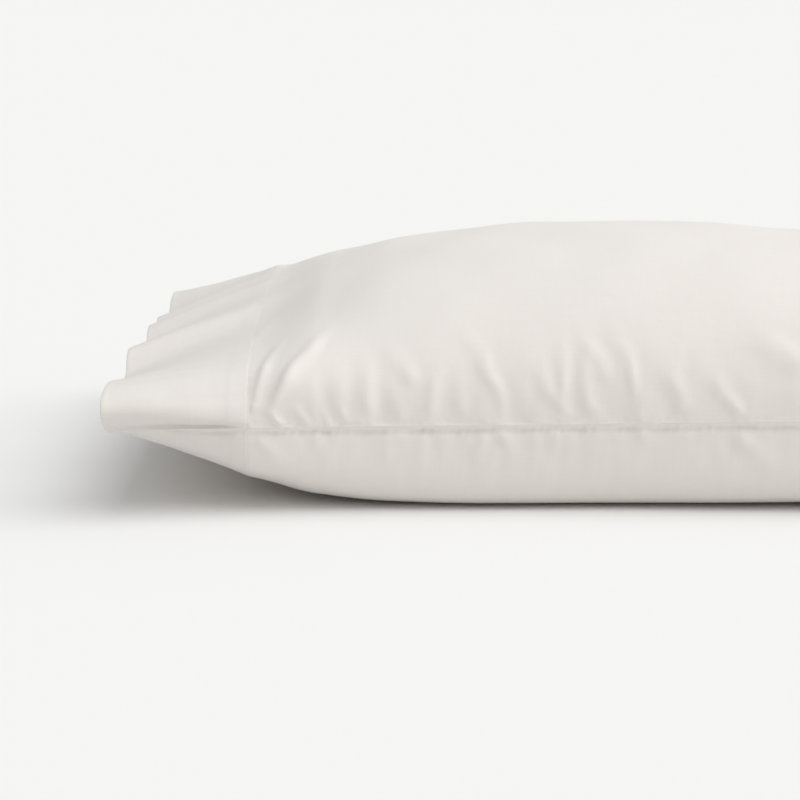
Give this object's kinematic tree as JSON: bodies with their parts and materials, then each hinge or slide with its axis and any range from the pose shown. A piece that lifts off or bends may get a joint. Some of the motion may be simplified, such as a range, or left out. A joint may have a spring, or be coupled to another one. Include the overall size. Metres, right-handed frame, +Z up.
{
  "type": "pillowcase",
  "caption": "Plain cotton pillowcase filled by its pillow, lying on its back, with an open fluted hem at one end and a crowned body.",
  "frame": {"origin": "centre of the footprint, on the surface the pillowcase lies on", "axes": "+X along the length, from the open hem to the closed end; +Y across the width, from the side nearest the viewer to the far side; +Z up through the crown"},
  "size_m": [0.721, 0.4852, 0.1806],
  "materials": {
    "cotton": "smooth plain-woven cotton in warm ivory with a soft, low sheen"
  },
  "bodies": {
    "root": {"pillowcase": "cotton"}
  },
  "joints": []
}
